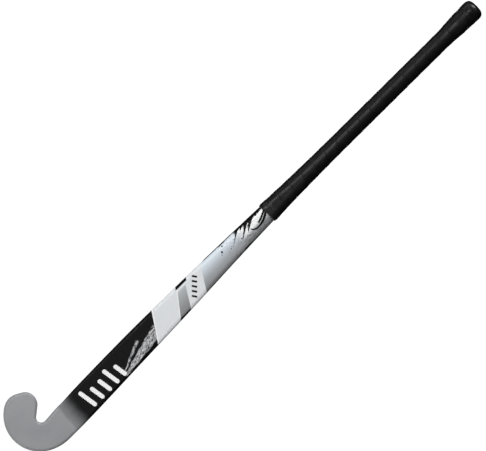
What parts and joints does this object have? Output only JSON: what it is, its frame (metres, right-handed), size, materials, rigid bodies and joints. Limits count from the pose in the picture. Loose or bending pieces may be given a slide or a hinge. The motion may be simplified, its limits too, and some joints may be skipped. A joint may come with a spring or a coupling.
{
  "type": "field hockey stick",
  "caption": "Hooked ball-sport stick with a flat playing face, a slightly bowed painted shaft and a black wrapped grip that flares at the butt.",
  "frame": {"origin": "on the axis of the straight handle, at the middle of the grip", "axes": "+Z along the handle towards the butt, -Y out of the playing face, -X towards the toe"},
  "size_m": [0.1037, 0.0586, 0.9258],
  "materials": {
    "painted_sleeve": "grey, black, white and silver lacquer over glass fibre",
    "mulberry": "bent mulberry, sanded",
    "cane": "split cane, planed",
    "shock_rubber": "matt sheet rubber",
    "underlay_foam": "soft closed-cell foam",
    "grip_wrap": "soft tacky polyurethane strip",
    "finishing_tape": "black vinyl tape",
    "butt_cap": "satin moulded rubber"
  },
  "bodies": {
    "root": {"butt_cap": "butt_cap", "butt_collar": "underlay_foam", "finishing_tape": "finishing_tape", "grip_underlay": "underlay_foam", "grip_wrap": "grip_wrap", "handle_cane_heel": "cane", "handle_cane_middle": "cane", "handle_cane_toe": "cane", "handle_rubber_heel": "shock_rubber", "handle_rubber_toe": "shock_rubber", "hook_lamina_1": "mulberry", "hook_lamina_2": "mulberry", "hook_lamina_3": "mulberry", "hook_lamina_4": "mulberry", "hook_lamina_5": "mulberry", "painted_sleeve": "painted_sleeve"}
  },
  "joints": []
}
